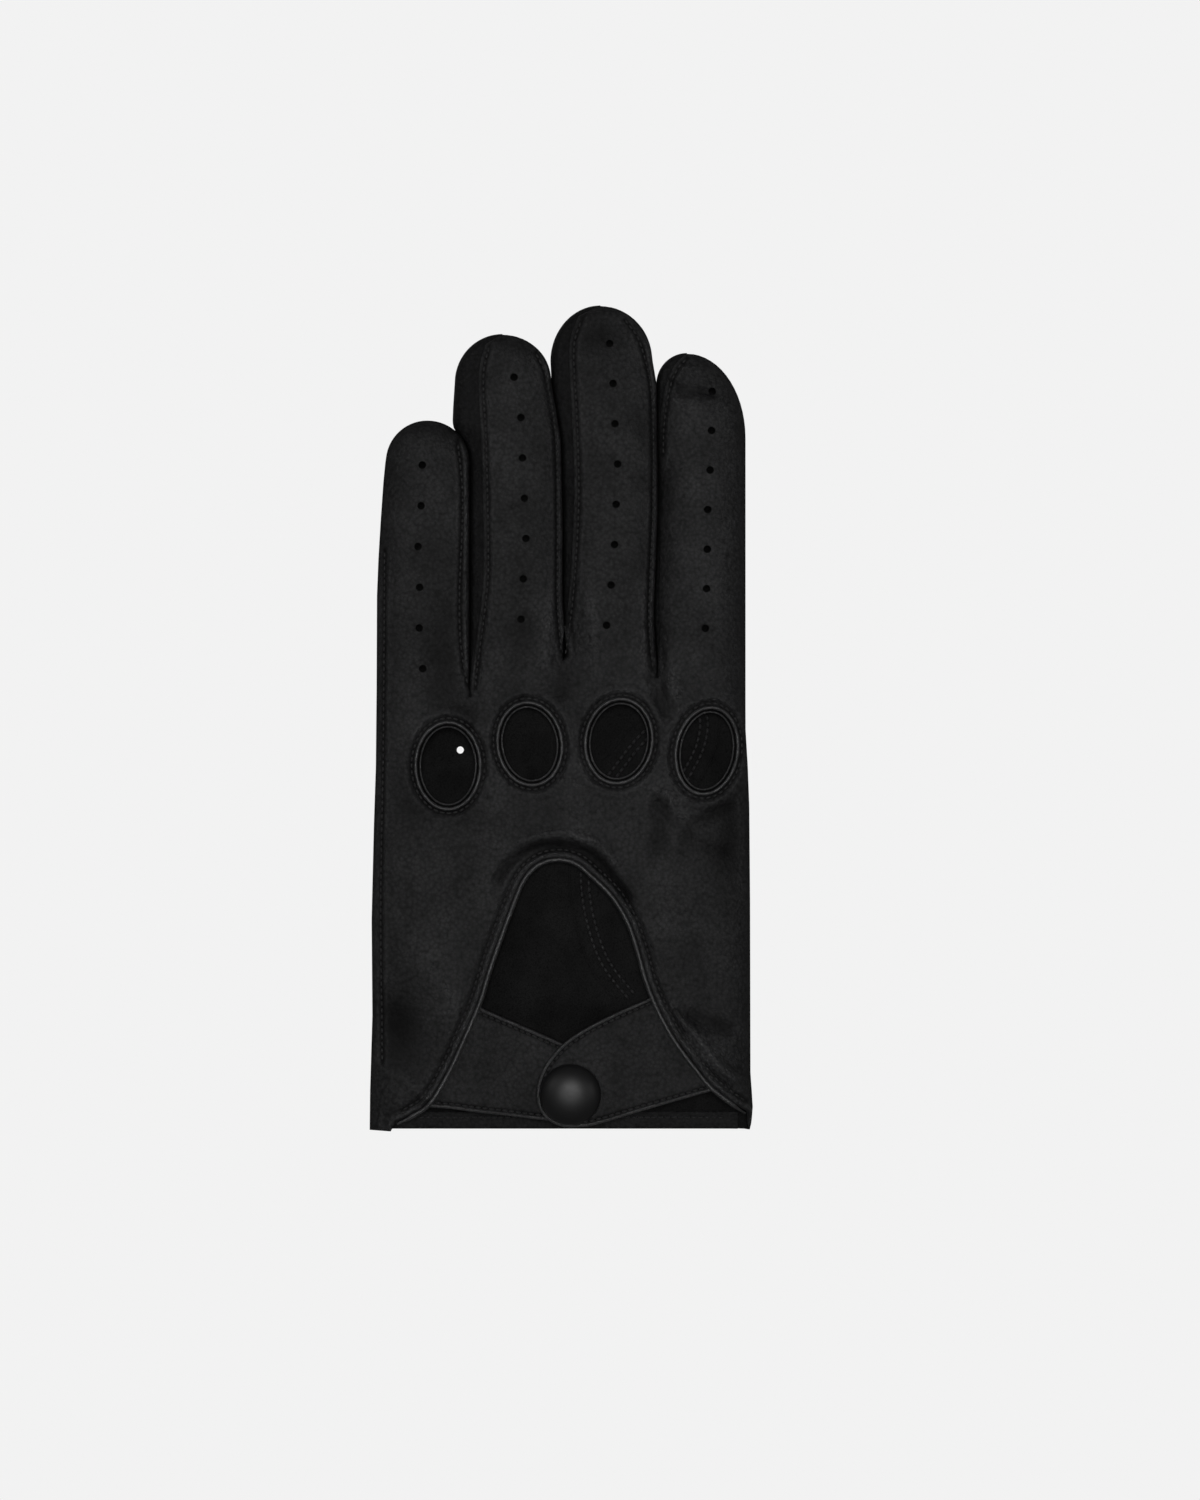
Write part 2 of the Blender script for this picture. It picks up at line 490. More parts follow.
def triangulate(outer, holes, fine, coarse, features, splits=()):
    """Triangles of a flat region: fine near its edges and the feature lines, coarse elsewhere."""
    outer = np.asarray(outer, float)[:, :2]
    loops = [outer] + [np.asarray(h, float)[:, :2] for h in holes]
    rim = Lines(loops, closed=True)
    lo, hi = outer.min(0), outer.max(0)

    def within(points):
        ok = inside(points, outer)
        for h in loops[1:]:
            ok &= ~inside(points, h)
        return ok

    def keep(points, gap):
        points = points[within(points)]
        return points[rim.far(points) > gap]

    near = Lines([*features, *[np.vstack([p, p[:1]]) for p in loops]])
    dense = keep(hex_grid(lo, hi, fine), 0.5)
    loose = keep(hex_grid(lo, hi, coarse), 0.5)
    dense, loose = dense[near.far(dense) < 3.2], loose[near.far(loose) >= 3.2]
    for a, _ in splits:
        dense = dense[np.abs(dense[:, 1] - a[1]) > 0.3 * fine]
        loose = loose[np.abs(loose[:, 1] - a[1]) > 0.3 * fine]
    rows = [keep(offset(loop, d, closed=True), abs(d) * 0.8) for loop in loops for d in (0.06, -0.06, 0.25, -0.25)]
    points, edges, n = [], [], 0
    for loop in loops:
        k = len(loop)
        points.append(loop)
        edges += [(n + i, n + (i + 1) % k) for i in range(k)]
        n += k
    for a, b in splits:
        line = resample([a, b], fine)
        points.append(line)
        edges += [(n + i, n + i + 1) for i in range(len(line) - 1)]
        n += len(line)
    points += [dense, loose] + rows
    points = np.vstack(points)
    verts, _, faces, _, _, _ = delaunay_2d_cdt([Vector(p) for p in points], edges, [], 0, 1e-4)
    xy = np.array([tuple(v) for v in verts], float)
    tris = np.array([f for f in faces if len(f) == 3])
    tris = tris[within(xy[tris].mean(1))]
    a, b, c = xy[tris[:, 0]], xy[tris[:, 1]], xy[tris[:, 2]]
    area = (b[:, 0] - a[:, 0]) * (c[:, 1] - a[:, 1]) - (b[:, 1] - a[:, 1]) * (c[:, 0] - a[:, 0])
    tris = np.where((area < 0)[:, None], tris[:, ::-1], tris)
    return xy, tris[np.abs(area) > 1e-7]


def vertex_normals(verts, tris):
    n = np.cross(verts[tris[:, 1]] - verts[tris[:, 0]], verts[tris[:, 2]] - verts[tris[:, 0]])
    out = np.zeros_like(verts)
    for k in range(3):
        np.add.at(out, tris[:, k], n)
    return out / np.maximum(np.linalg.norm(out, axis=1), 1e-12)[:, None]


def sheet_object(name, xy, tris, outer_z, inner_z, materials, up=True, normals=None, on_split=None, tone=None):
    """A leather sheet from flat triangles with an outer and an inner face, closed round its rim."""
    used, inverse = np.unique(tris, return_inverse=True)
    t = inverse.reshape(tris.shape)
    p, zo, zi = xy[used], outer_z[used], inner_z[used]
    n = len(used)
    verts = np.vstack([np.column_stack([p, zo]), np.column_stack([p, zi])])
    faces = [tuple(f) for f in (t if up else t[:, ::-1])] + [tuple(f) for f in ((t[:, ::-1] if up else t) + n)]
    slots = [0] * len(t) + [1] * len(t)
    count = {}
    for f in t:
        for a, b in ((f[0], f[1]), (f[1], f[2]), (f[2], f[0])):
            count[(a, b)] = count.get((a, b), 0) + 1
    split = np.zeros(n, bool) if on_split is None else on_split[used]
    for (a, b) in list(count):
        if (b, a) in count or (split[a] and split[b]):
            continue
        if abs(zo[a] - zi[a]) < 0.02 and abs(zo[b] - zi[b]) < 0.02:
            continue
        faces.append((a, a + n, b + n, b) if up else (b, b + n, a + n, a))
        slots.append(2 if len(materials) > 2 else 0)
    obj = make_object(name, verts, faces, materials, slots, tone=None if tone is None else np.tile(tone[used], 2))
    if normals is not None and split.any():
        custom = np.zeros((2 * n, 3))
        custom[:n][split] = normals[used][split]
        custom[n:][split] = -normals[used][split]
        obj.data.normals_split_custom_set_from_vertices(custom.tolist())
    return obj


def loft(name, rows, material, closed_rows=False, sharp=40):
    """A grid surface through rows of points. closed_rows joins each row's ends."""
    m = len(rows[0])
    faces = [(i * m + k, i * m + (k + 1) % m, (i + 1) * m + (k + 1) % m, (i + 1) * m + k)
             for i in range(len(rows) - 1) for k in range(m if closed_rows else m - 1)]
    return make_object(name, np.vstack(rows), faces, [material], sharp=sharp)


def tube_mesh(path, radius, sides=8, closed=False, flat=1.0):
    """Vertices and faces of a round tube along a 3D path. radius may be one number or one per point."""
    p = np.asarray(path, float)
    d = np.roll(p, -1, 0) - np.roll(p, 1, 0) if closed else np.gradient(p, axis=0)
    d /= np.linalg.norm(d, axis=1)[:, None]
    side = np.cross(d, (0, 0, 1.0))
    side /= np.maximum(np.linalg.norm(side, axis=1), 1e-9)[:, None]
    upward = np.cross(side, d)
    r = np.broadcast_to(radius, len(p))
    a = np.linspace(0, 2 * math.pi, sides, endpoint=False)
    ring = (np.cos(a)[None, :, None] * side[:, None] + flat * np.sin(a)[None, :, None] * upward[:, None])
    verts = (p[:, None] + ring * r[:, None, None]).reshape(-1, 3)
    faces = []
    n = len(p)
    for i in range(n if closed else n - 1):
        j = (i + 1) % n
        for k in range(sides):
            q = (k + 1) % sides
            faces.append((i * sides + k, j * sides + k, j * sides + q, i * sides + q))
    if not closed:
        faces.append(tuple(range(sides)))
        faces.append(tuple(reversed(range((n - 1) * sides, n * sides))))
    return verts, faces


def join_meshes(parts):
    verts, faces, n = [], [], 0
    for v, f in parts:
        verts.append(v)
        faces += [tuple(i + n for i in face) for face in f]
        n += len(v)
    return np.vstack(verts), faces


def stitch_mesh(line, z_of, length=1.2, radius=0.25, pitch=STITCH_PITCH, sink=0.12):
    """Thread segments along a line, each a short bent capsule that dips at its ends."""
    line = np.asarray(line, float)
    s = along(line)
    starts = np.arange(pitch * 0.4, s[-1] - length, pitch)
    if not len(starts):
        return None
    t = np.array([0, 0.16, 0.5, 0.84, 1.0])
    at = (starts[:, None] + length * t).ravel()
    xy = np.column_stack([np.interp(at, s, line[:, 0]), np.interp(at, s, line[:, 1])])
    z = z_of(xy).reshape(-1, 5) + sink + radius * np.array([-1.0, .35, .75, .35, -1.0])
    pts = np.column_stack([xy, z.ravel()]).reshape(-1, 5, 3)
    taper = radius * np.array([0.5, 0.9, 1.0, 0.9, 0.5])
    return join_meshes([tube_mesh(p, taper, 6) for p in pts])


# ---- materials ----
class Shader:
    """A material with one principled shader, and short ways to add nodes to it."""

    def __init__(self, name):
        self.material = bpy.data.materials.new(name)
        self.material.use_nodes = True
        self.tree = self.material.node_tree
        self.tree.nodes.clear()
        out = self.add("OutputMaterial")
        self.shader = self.add("BsdfPrincipled")
        self.link(self.shader, out.inputs[0])
        self.rest = self.attribute("rest", "Vector")

    def add(self, kind, **values):
        node = self.tree.nodes.new("ShaderNode" + kind)
        for key, value in values.items():
            if key in node.inputs:
                node.inputs[key].default_value = value
            else:
                setattr(node, key, value)
        return node

    def link(self, source, *targets):
        """Join a socket, or a node's first output, to inputs."""
        for target in targets:
            self.tree.links.new(source.outputs[0] if hasattr(source, "outputs") else source, target)

    def attribute(self, name, output):
        return self.add("Attribute", attribute_name=name).outputs[output]

    def texture(self, kind, **values):
        node = self.add(kind, **values)
        self.link(self.rest, node.inputs["Vector"])
        return node

    def noise(self, **values):
        return self.texture("TexNoise", **values).outputs["Fac"]

    def ranged(self, value, from_ends, to_ends):
        node = self.add("MapRange")
        for k, number in enumerate((*from_ends, *to_ends)):
            node.inputs[k + 1].default_value = number
        self.link(value, node.inputs[0])
        return node

    def times_plus(self, a, factor, b, clamp=False):
        node = self.add("Math", operation="MULTIPLY_ADD", use_clamp=clamp)
        node.inputs[1].default_value = factor
        self.link(a, node.inputs[0])
        self.link(b, node.inputs[2])
        return node

    def bump(self, height, strength, distance, below=None):
        node = self.add("Bump", Strength=strength, Distance=distance)
        self.link(height, node.inputs["Height"])
        if below:
            self.link(below, node.inputs["Normal"])
        return node

    def ramp(self, value, colour, low, high, ends=(0, 1)):
        node = self.add("ValToRGB")
        for element, share, at in zip(node.color_ramp.elements, (low, high), ends):
            element.color = (*(np.array(colour) * share), 1)
            element.position = at
        self.link(value, node.inputs[0])
        return node

    def finish(self, colour, roughness, normal, specular, metallic=0.0):
        self.link(colour, self.shader.inputs["Base Color"])
        self.link(normal, self.shader.inputs["Normal"])
        if isinstance(roughness, float):
            self.shader.inputs["Roughness"].default_value = roughness
        else:
            self.link(roughness, self.shader.inputs["Roughness"])
        self.shader.inputs["Metallic"].default_value = metallic
        self.shader.inputs["Specular IOR Level"].default_value = specular
        return self.material


def leather(name, colour, rough, grain=1.0, cell=0.95, specular=0.22):
    """Dyed leather: pebbled grain, pores, uneven dye and polish. cell is the grain's size in millimetres."""
    m = Shader(name)
    warp = m.texture("TexNoise", Scale=0.9, Detail=2.0)
    mix = m.add("VectorMath", operation="MULTIPLY_ADD")
    mix.inputs[1].default_value = (0.7, 0.7, 0.7)
    m.link(warp.outputs["Color"], mix.inputs[0])
    m.link(m.rest, mix.inputs[2])
    cells = m.add("TexVoronoi", feature="SMOOTH_F1", Scale=1 / cell, Randomness=1.0, Smoothness=0.35)
    m.link(mix, cells.inputs["Vector"])
    pores = m.noise(Scale=4.2, Detail=3.0, Roughness=0.6)
    folds = m.noise(Scale=0.32, Detail=4.0, Roughness=0.55, Distortion=0.4)
    patches = m.noise(Scale=0.09, Detail=3.0, Roughness=0.6)
    height = m.times_plus(cells.outputs["Distance"], -0.9, pores)
    broad = m.bump(folds, 0.5 * grain, 0.0005)
    fine = m.bump(height, 1.0 * grain, 0.00024, broad)
    shade = m.ramp(patches, colour, 0.7, 1.35, (0.3, 0.72))
    tone = m.attribute("tone", "Fac")
    both = m.add("Math", operation="MULTIPLY")
    m.link(m.ranged(tone, (-1.0, 1.0), (1.9, 0.1)), both.inputs[0])
    m.link(m.ranged(height, (-0.45, 0.45), (0.3, 1.7)), both.inputs[1])
    tint = m.add("VectorMath", operation="SCALE")
    m.link(shade, tint.inputs[0])
    m.link(both, tint.inputs["Scale"])
    gloss = m.ranged(folds, (0.3, 0.7), (rough - 0.06, rough + 0.08))
    return m.finish(tint, m.times_plus(tone, 0.3, gloss, True), fine, specular)


def thread_material(name, colour, rough):
    m = Shader(name)
    twist = m.texture("TexWave", wave_type="BANDS", bands_direction="DIAGONAL", Scale=1.6, Distortion=1.5)
    shade = m.ramp(m.noise(Scale=1.1), colour, 0.7, 1.4)
    return m.finish(shade, rough, m.bump(twist.outputs["Fac"], 0.5, 0.00006), 0.3)


def metal(name, colour, rough, metallic, specular=0.5):
    m = Shader(name)
    marks = m.noise(Scale=1.4, Detail=6.0, Roughness=0.7)
    gloss = m.ranged(marks, (0, 1), (rough - 0.07, rough + 0.09))
    return m.finish(m.ramp(marks, colour, 0.8, 1.2), gloss, m.bump(marks, 0.4, 0.00002), specular, metallic)


BLACK = (0.016, 0.016, 0.0164)
M_BACK = leather("leather_back", BLACK, 0.43)
M_PALM = leather("leather_palm", (0.010, 0.010, 0.0104), 0.52)
M_SIDE = leather("leather_fourchette", (0.0065, 0.0065, 0.0068), 0.55, specular=0.2)
M_BIND = leather("leather_binding", (0.03, 0.03, 0.0305), 0.34, grain=0.5, cell=0.6, specular=0.55)
M_INSIDE = leather("leather_inside", (0.0085, 0.0085, 0.0085), 0.85, grain=0.25, cell=0.35, specular=0.1)
M_RIM = leather("leather_cut_edge", (0.004, 0.004, 0.004), 0.8, grain=1.2, cell=0.3, specular=0.12)
M_THREAD = thread_material("thread", (0.024, 0.024, 0.0244), 0.5)
M_CAP = metal("snap_cap_black", (0.008, 0.008, 0.0083), 0.42, 0.0, specular=0.35)
M_METAL = metal("snap_metal", (0.09, 0.088, 0.085), 0.32, 1.0)
OUTER = [M_BACK, M_INSIDE, M_RIM]
PALM = [M_PALM, M_INSIDE, M_RIM]


def place(obj, body, nodes=()):
    """Ride on the body, or bend with a finger, and stand for CAD nodes."""
    if body in FINGERS:
        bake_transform(obj)
    else:
        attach(obj, body)
    if nodes:
        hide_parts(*nodes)
    return obj


# ---- the back: hand and four fingers, cut from one sheet ----
VENT_R = 1.0
VENT_N = {"little": 6, "ring": 7, "middle": 8, "index": 7}
VENT_TOP = {"little": 12.2, "ring": 11.8, "middle": 10.4, "index": 10.4}
VENT_PITCH = {"little": 10.6, "ring": 10.5, "middle": 10.5, "index": 10.3}
VENT_X = {"little": (1.2, 0.9, 0.1, 0.5, 0.4, 1.3), "ring": (1.0, 2.8, 3.2, 3.7, 4.1, 3.4, 2.8),
          "middle": (0.6, 1.5, 2.0, 2.7, 2.3, 1.9, 1.0, -0.2), "index": (2.2, 2.0, 1.6, 1.0, 0.9, 0.7, 0.4)}


def circle(x, y, r, n=14):
    a = np.linspace(0, 2 * math.pi, n, endpoint=False)
    return np.column_stack([x + r * np.cos(a), y + r * np.sin(a)])


vents = {f: [(CENTRE[f] + VENT_X[f][k], TIP[f] - VENT_TOP[f] - k * VENT_PITCH[f]) for k in range(VENT_N[f])]
         for f in FINGERS}
panel = [HAND_EDGE_L, EDGE_L["little"][:-1], EDGE_R["little"][::-1][:-1]]
for f in FINGERS[1:]:
    edge = np.column_stack([PANEL_EDGE[f], np.zeros(len(PANEL_EDGE[f]))])
    panel += [edge[:-1], EDGE_R[f][::-1][:-1]]
cut_loop = offset(CUTOUT, CUT_OUT["sheet"])
corner_r = np.array([[HAND_R + .4, 0.3], [HAND_R - 0.2, 1.2]])
panel += [EDGE_R["index"][:1], HAND_EDGE_R[::-1][:-1], np.column_stack([corner_r, [0, 0]]),
          np.column_stack([cut_loop[::-1], np.zeros(len(cut_loop))]),
          [(cut_loop[0][0] - 1.4, 0.15, 0), ]]
panel = np.vstack(panel)[:, :2]
panel_holes = [hole_loop(f, HOLE_OUT["sheet"]) for f in FINGERS]
panel_holes += [circle(x, y, VENT_R) for f in FINGERS for x, y in vents[f]]


def x_at(line, y):
    """x where a line that climbs from crotch to tip passes height y."""
    order = np.argsort(line[:, 1], kind="stable")
    return float(np.interp(y, line[order, 1], line[order, 0]))


def split_line(f, left):
    """Where a finger's sheet parts from the hand's, a hair wider than the sheet."""
    return (x_at(left, SPLIT[f]) - .03, SPLIT[f]), (x_at(EDGE_R[f], SPLIT[f]) + .03, SPLIT[f])


splits = [split_line(f, PANEL_EDGE.get(f, EDGE_L[f])) for f in FINGERS]
xy, tris = triangulate(panel, panel_holes, 0.62, 1.15, list(seam_lines.values()), splits)
z = top(xy)
edge_far = Lines([*PANEL_EDGE.values(), *[EDGE_R[f] for f in FINGERS[:3]]]).far(xy)
z -= 0.28 * (1 - np.clip(edge_far / 0.45, 0, 1)) ** 2
e, lift = SIDE.near(xy)
thick = LEATHER * np.clip(e / 2 + 2.5 * lift, 0, 1)
FINGERS_ONLY = 137   # above this height every triangle belongs to a finger


def part_of(points):
    """Index of the finger that each point belongs to, or -1 for the hand."""
    out = np.full(len(points), -1)
    for k, f in enumerate(FINGERS):
        out[inside(points, FINGER_LOOP[f]) & (points[:, 1] > SPLIT[f])] = k
    lost = (out < 0) & (points[:, 1] > FINGERS_ONLY)
    out[lost] = np.digitize(points[lost, 0], [c[0] for c in CROTCHES])
    return out


def on_lines(points, lines):
    """Which points lie on the split lines between hand and fingers."""
    out = np.zeros(len(points), bool)
    for (x0, y), (x1, _) in lines:
        out |= (np.abs(points[:, 1] - y) < 1e-3) & (points[:, 0] > x0 - .1) & (points[:, 0] < x1 + .1)
    return out


owner = part_of(xy[tris].mean(1))
full_normals = vertex_normals(np.column_stack([xy, z]), tris)
on_split = on_lines(xy, splits)
tone = seam_tone(xy)
for k, f in ((-1, "trank"), *enumerate(FINGERS)):
    obj = sheet_object(f + "_back_leather", xy, tris[owner == k], z, z - thick, OUTER, True, full_normals, on_split,
                       tone)
    place(obj, "hand" if k < 0 else f, [f + "_back"])

# ---- the palm and the fronts of the fingers ----
palm_vents = [(CENTRE["little"] + 10.7, 99.6, 0.95)]    # the one seen through the little finger's knuckle hole
for f in FINGERS:
    palm_vents += [(CENTRE[f] - 4.5, y, 0.8) for y in np.arange(BEND[f] + 16, TIP[f] - 14, 11)]
cuff_line = np.column_stack([np.linspace(HAND_R + .7, HAND_L - 1.3, 60)[1:-1], np.full(58, 0.0)])
palm_loop = np.vstack([silhouette[:, :2], cuff_line])
palm_splits = [split_line(f, EDGE_L[f]) for f in FINGERS]
pxy, ptris = triangulate(palm_loop, [circle(*v) for v in palm_vents], 1.3, 2.2, [], palm_splits)
pz = bottom(pxy)
pe = SIDE.far(pxy)
pthick = LEATHER * np.clip(pe / 2, 0, 1)
powner = part_of(pxy[ptris].mean(1))
pnormals = -vertex_normals(np.column_stack([pxy, pz]), ptris)
p_on_split = on_lines(pxy, palm_splits)
for k, node in enumerate(("trank_palm", *[f + "_front" for f in FINGERS]), -1):
    obj = sheet_object(node + "_leather", pxy, ptris[powner == k], pz, pz + pthick, PALM, False, pnormals, p_on_split)
    place(obj, "hand" if k < 0 else FINGERS[k], [node])


# ---- fourchettes: the strips between back and front ----
def outer_strip(f):
    """From under the panel's left edge down to the side seam."""
    edge, side = (resample(line, None, count=110) for line in (PANEL_EDGE[f], EDGE_L[f]))
    side = side[:, :2]
    tuck = edge - 1.4 * normals_2d(edge)
    tuck[0], tuck[-1] = edge[0], edge[-1]
    rows = []
    for t in np.r_[0, 0.12, 0.25, 1 - (1 - np.linspace(0.38, 1, 9)) ** 1.6]:
        p = tuck + (side - tuck) * t
        drop = 1.05 * (1 - smooth((t - 0.45) / 0.55))
        z = np.maximum(top(p) - drop, SEAM_Z)
        rows.append(np.column_stack([p, z]))
    rows.append(np.column_stack([side + 0.35 * normals_2d(side), np.full(len(side), SEAM_Z - 0.5)]))
    rows.append(np.column_stack([side - 0.4 * normals_2d(side), np.full(len(side), SEAM_Z - 1.2)]))
    return rows


def inner_strip(f):
    """The wall under the panel's right edge."""
    side, lift = EDGE_R[f][:, :2], EDGE_R[f][:, 2]
    z_edge = SEAM_Z + HEIGHT * lift
    left = normals_2d(side)
    rows = []
    for inset, share, drop in ((2.2, 1, 0.8), (0.9, 1, 1.05), (0.45, .8, 1.1), (0.3, .4, 0.6), (0.12, 0, 0),
                               (0.3, 0, .6)):
        z = SEAM_Z + (z_edge - SEAM_Z) * share - drop * (share > 0)
        if inset > 0.8:
            z = z + 0.5
        z = np.maximum(z, SEAM_Z - 0.6) if share else np.full(len(side), SEAM_Z - drop)
        rows.append(np.column_stack([side + left * inset, z]))
    return rows


for fingers, end, strip in ((FINGERS[1:], "_fourchette_outer", outer_strip),
                            (FINGERS[:3], "_fourchette_inner", inner_strip)):
    for f in fingers:
        place(loft(f + end + "_leather", strip(f), M_SIDE), f, [f + end])
for k, name in enumerate(("web_little_ring", "web_ring_middle", "web_middle_index")):
    cx, cy = CROTCHES[k]
    path = curve([(cx - .9, cy + 11), (cx - .9, cy + 4), (cx - .6, cy + .8), (cx, cy - .4), (cx + .6, cy + .8),
                  (cx + .9, cy + 4), (cx + .9, cy + 11)], 0.6)
    z_top = SEAM_Z + HEIGHT * LIFT["crotch"] * (1 - .45 * smooth((path[:, 1] - cy) / 12)) - 1.1
    rows = [np.column_stack([path, SEAM_Z - .4 + (z_top - SEAM_Z + .4) * t]) for t in np.linspace(0, 1, 5)]
    place(loft(name + "_leather", rows, M_SIDE), "hand", [name])

# ---- bindings of the knuckle holes and the cut-out ----
for f in FINGERS:
    outer, inner = hole_loop(f, HOLE_OUT["outer_bead"]), hole_loop(f, HOLE_OUT["inner_bead"])
    hole_z = top(outer)
    phase = np.linspace(0, 2 * math.pi, len(outer), endpoint=False)
    ripple = 0.045 * np.sin(phase * 18)
    band = hole_loop(f, HOLE_OUT["band"])
    parts = [tube_mesh(np.column_stack([outer, hole_z + 0.1 + ripple]), 0.42 + ripple, 10, True),
             tube_mesh(np.column_stack([inner, hole_z - 0.6]), 0.2, 8, True),
             tube_mesh(np.column_stack([band, hole_z - 1.25]), 0.7, 6, True, 0.35)]
    verts, faces = join_meshes(parts)
    slots = [0] * (len(parts[0][1]) + len(parts[1][1])) + [1] * len(parts[2][1])
    obj = make_object("knuckle_binding_%s_leather" % f, verts, faces, [M_BIND, M_RIM], slots)
    place(obj, "hand", ["knuckle_binding_" + f])
piping = offset(CUTOUT, CUT_OUT["piping"])
lip = offset(CUTOUT, 0.25)
cut_z = top(offset(CUTOUT, 1.2))
end_fade = np.clip(np.minimum(np.arange(len(CUTOUT)), np.arange(len(CUTOUT))[::-1]) / 5, 0.35, 1)
parts = [tube_mesh(np.column_stack([piping, cut_z + 0.15]), 0.5 * end_fade, 10),
         tube_mesh(np.column_stack([lip, cut_z - 0.75]), 0.35 * end_fade, 8)]
verts, faces = join_meshes(parts)
place(make_object("cutout_piping_leather", verts, faces, [M_BIND]), "hand", ["cutout_binding"])

# ---- cuff hem ----
hem_z = bottom(cuff_line[:, :2] + (0, 0.5)) + LEATHER
hem_rows = []
for y, dz in ((0.35, -1.0), (-0.05, -0.7), (-0.1, -0.1), (0.1, 0.35), (0.6, 0.6), (2.2, 0.62), (3.6, 0.55), (4.3, 0.45),
              (4.6, 0.05)):
    hem_rows.append(np.column_stack([cuff_line[1:-1, 0], np.full(56, y), hem_z[1:-1] + dz]))
place(loft("cuff_hem_leather", hem_rows[::-1], M_PALM), "hand", ["cuff_hem"])

# ---- strap: the lower tab on the left, and the flap with its snap on the right ----
TAB_Z = cad_box("strap_tab")[0][2] + LEATHER
tab_loop = curve([(-26, 34.6), (-19.5, 31.6), (-10, 27.4), (-1.4, 23.6), (6, 19.8), (10.6, 14.5), (11.2, 9.5),
                  (9.2, 4.6), (4.5, 2.3), (-4.3, 2.7), (-16, 4.1), (-28, 5.8), (-36.5, 7.0), (-37.5, 12), (-33, 24)],
                 0.8, True)
flap_loop = curve([(29, 37.2), (21.9, 34.4), (13, 30.5), (4.85, 26.2), (-0.6, 22.0), (-4.9, 16.2), (-6.5, 9.8),
                   (-4.9, 4.4), (-0.4, 1.5), (5, 1.2), (10.1, 2.1), (22, 5.7), (33.7, 9.0), (42, 11.5), (44.0, 14),
                   (38, 24)], 0.8, True)
STRAP_BEAD, STRAP_SEAM = 0.5, 1.35    # in from a strap's edge


def tab_top(p):
    x = p[:, 0]
    z = TAB_Z + (BODY_TOP - 1.9 - TAB_Z) * smooth((-13 - x) / 12)
    return z + 0.1 * wrinkles(p, 0.2, 5.5)


def flap_top(p):
    x, y = p[:, 0], p[:, 1]
    z = SNAP_Z - 0.75 * smooth((x - 17 - (20 - y) * .4) / 9)
    z = z + 0.12 * wrinkles(p, 0.2, 2.5) + 0.25 * np.exp(-(((x - 14) * .8 + (y - 18) * .6) / 6) ** 2)
    return z


def creased(base, rows):
    """A strap's height: its base shape, an edge bead, a stitch groove and fine diagonal creases."""
    line = Lines([rows], closed=True)

    def height(p):
        d = line.far(p)
        z = base(p) - 0.38 * bell(d, STRAP_SEAM, 0.4) + 0.2 * bell(d, .55, .32)
        z -= 0.3 * (1 - np.clip(d / 0.4, 0, 1)) ** 2
        return z + 0.07 * wrinkles(p @ np.array([[.9, -.25], [.42, 1.6]]), 0.35, 8.8) * smooth(d / 3)
    return height


def strap_tone(p, loop):
    d = Lines([loop], closed=True).far(p)
    tone = 1.1 * bell(d, 1.4, 0.42) - 1.2 * bell(d, STRAP_BEAD, 0.35)
    return np.clip(tone - 0.25 * smooth(wrinkles(p, 0.12, 6.6)), -1, 1)


def inward(loop, distance):
    """A loop moved to its own inside."""
    moved = offset(loop, distance, True)
    return moved if inside(moved[:1], loop)[0] else offset(loop, -distance, True)


def place_strap(obj, body, nodes):
    """The tab stays on the hand. The flap bends along the strap's hinge line."""
    if body == "hand":
        place(obj, body, nodes)
        return
    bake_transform(obj)
    if nodes:
        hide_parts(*nodes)


tab_z, flap_z = creased(tab_top, tab_loop), creased(flap_top, flap_loop)
STRAPS = (("strap_tab", tab_loop, tab_z, "hand", ["strap_tab"]),
          ("strap_flap", flap_loop, flap_z, "strap", ["strap_flap", "strap_anchor"]))
for name, loop, height, body, nodes in STRAPS:
    sxy, stris = triangulate(loop, [], 0.6, 1.0, [])
    sz = height(sxy)
    obj = sheet_object(name + "_leather", sxy, stris, sz, sz - LEATHER, OUTER, tone=strap_tone(sxy, loop))
    place_strap(obj, body, nodes)
for name, loop, height, body, _ in STRAPS:
    bead = inward(loop, STRAP_BEAD)
    verts, faces = tube_mesh(np.column_stack([bead, height(bead) - 0.08]), 0.33, 8, True)
    place_strap(make_object(name + "_bead_leather", verts, faces, [M_BIND]), body, ())

# ---- the snap ----
def lathe(name, profile, material, centre, sides=48, sharp=50):
    """A turned part from its profile, pairs of radius and height."""
    a = np.linspace(0, 2 * math.pi, sides, endpoint=False)
    rows = [np.column_stack([centre[0] + r * np.cos(a), centre[1] + r * np.sin(a), np.full(sides, z)])
            for r, z in profile]
    return loft(name, rows, material, closed_rows=True, sharp=sharp)


CAP_LO, CAP_HI = cad_box("snap_cap")
CAP_R = (CAP_HI - CAP_LO)[0] / 2
DOME_Z = SNAP_Z + 0.6
dome = [(CAP_R - 1.2, SNAP_Z - 0.05), (CAP_R - .35, SNAP_Z + 0.05), (CAP_R, SNAP_Z + 0.45),
        (CAP_R - 0.08, SNAP_Z + 0.8)]
for a in np.linspace(0.16, 1, 16) * math.pi / 2:
    dome.append((CAP_R * math.cos(a) ** 0.85 + 0.001, DOME_Z + (CAP_HI[2] - DOME_Z) * math.sin(a)))
place(lathe("snap_cap_dome", dome, M_CAP, SNAP), "strap", ["snap_cap"])
k0 = cad_box("snap_socket")[0][2]
socket = [(2.3, k0 + .9), (2.25, k0 + .1), (2.6, k0), (3.6, k0), (3.9, k0 + .5), (4.7, k0 + .8), (5.0, k0 + 1.2),
          (4.9, SNAP_Z - LEATHER), (0.01, SNAP_Z - LEATHER)]
place(lathe("snap_socket_ring", socket, M_METAL, SNAP), "strap", ["snap_socket"])
